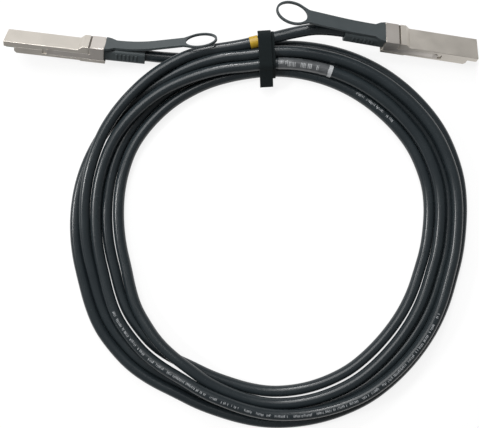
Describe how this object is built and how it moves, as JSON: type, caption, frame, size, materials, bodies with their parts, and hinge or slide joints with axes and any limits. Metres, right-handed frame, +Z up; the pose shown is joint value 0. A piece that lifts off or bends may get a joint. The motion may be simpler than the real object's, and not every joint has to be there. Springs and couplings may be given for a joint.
{
  "type": "direct attach copper cable",
  "caption": "Coiled copper network cable with a sliding-latch pluggable connector, boot and pull tab at each end, held by a hook and loop tie.",
  "frame": {"origin": "on the table, midway between the two plugs (bottom centre of the plugs' box)", "axes": "+X from the left plug towards the right plug, +Z up, so the coil lies towards -Y"},
  "size_m": [0.3517, 0.3128, 0.0393],
  "materials": {
    "die_cast_nickel": "satin nickel plate",
    "latch_steel": "satin",
    "screw_steel": "satin",
    "spring_wire": "bright",
    "tab_moulding": "matte",
    "boot_moulding": "matte",
    "ferrule_brass": "satin",
    "cable_jacket": "satin",
    "circuit_card": "solder mask",
    "contact_gold": "bright",
    "chip_moulding": "matte",
    "pair_foil": "foil",
    "tie_fabric": "hook and loop",
    "marker_yellow": "satin",
    "label_film": "clear film over white"
  },
  "bodies": {
    "cable": {"left_top_shell": "die_cast_nickel", "left_bottom_shell": "die_cast_nickel", "left_shell_screws": "screw_steel", "left_latch_springs": "spring_wire", "left_boot": "boot_moulding", "left_crimp_ferrule": "ferrule_brass", "left_cable_entry": "cable_jacket", "left_paddle_card": "circuit_card", "left_contact_pads": "contact_gold", "left_memory_chip": "chip_moulding", "left_wire_pairs": "pair_foil", "right_top_shell": "die_cast_nickel", "right_bottom_shell": "die_cast_nickel", "right_shell_screws": "screw_steel", "right_latch_springs": "spring_wire", "right_boot": "boot_moulding", "right_crimp_ferrule": "ferrule_brass", "right_cable_entry": "cable_jacket", "right_paddle_card": "circuit_card", "right_contact_pads": "contact_gold", "right_memory_chip": "chip_moulding", "right_wire_pairs": "pair_foil", "left_cable_tail": "cable_jacket", "right_cable_tail": "cable_jacket", "coil": "cable_jacket", "hook_and_loop_tie": "tie_fabric", "marker_band": "marker_yellow", "wrap_label": "label_film"},
    "left_latch": {"left_latch_slider": "latch_steel", "left_pull_tab": "tab_moulding"},
    "right_latch": {"right_latch_slider": "latch_steel", "right_pull_tab": "tab_moulding"}
  },
  "joints": [
    {"name": "left_latch_slide", "type": "slide", "parent": "cable", "child": "left_latch", "axis": [0.9899, -0.0953, -0.1045], "range_m": [0, 0.0025], "stiffness_N_per_m": 800, "springref_m": -0.003, "deforming": ["left_latch_springs"]},
    {"name": "right_latch_slide", "type": "slide", "parent": "cable", "child": "right_latch", "axis": [-0.9862, 0.1211, 0.1132], "range_m": [0, 0.0025], "stiffness_N_per_m": 800, "springref_m": -0.003, "deforming": ["right_latch_springs"]}
  ]
}
